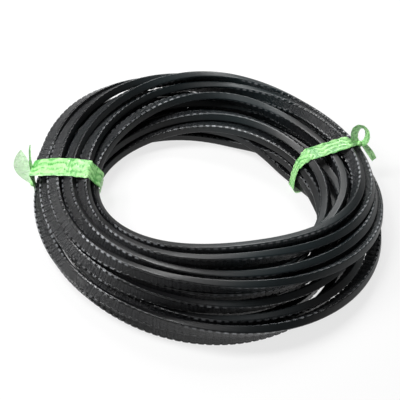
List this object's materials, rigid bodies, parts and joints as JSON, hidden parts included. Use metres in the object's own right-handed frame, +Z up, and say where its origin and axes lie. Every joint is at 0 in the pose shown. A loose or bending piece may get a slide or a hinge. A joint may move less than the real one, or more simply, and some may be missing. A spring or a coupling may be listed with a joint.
{
  "type": "coil of edge trim strip",
  "caption": "Loose coil of black U-section rubber strip with a segmented steel core, held by knotted ties of green plastic film.",
  "frame": {"origin": "middle of the whole object's box seen from above, on the surface that the coil rests on", "axes": "+Z up, -Y towards the side of the coil that is nearest in the picture, +X to its right"},
  "size_m": [0.4366, 0.4052, 0.073],
  "materials": {
    "strip_rubber": "semi-gloss, grained wide faces",
    "strip_steel": "plain",
    "film": "crumpled, translucent"
  },
  "bodies": {
    "root": {"strip_cover": "strip_rubber", "strip_core": "strip_steel", "left_tie_band": "film", "left_tie_knot": "film", "left_tie_long_tail": "film", "left_tie_short_tail": "film", "right_tie_band": "film", "right_tie_knot": "film", "right_tie_loop": "film", "right_tie_tail": "film"}
  },
  "joints": []
}
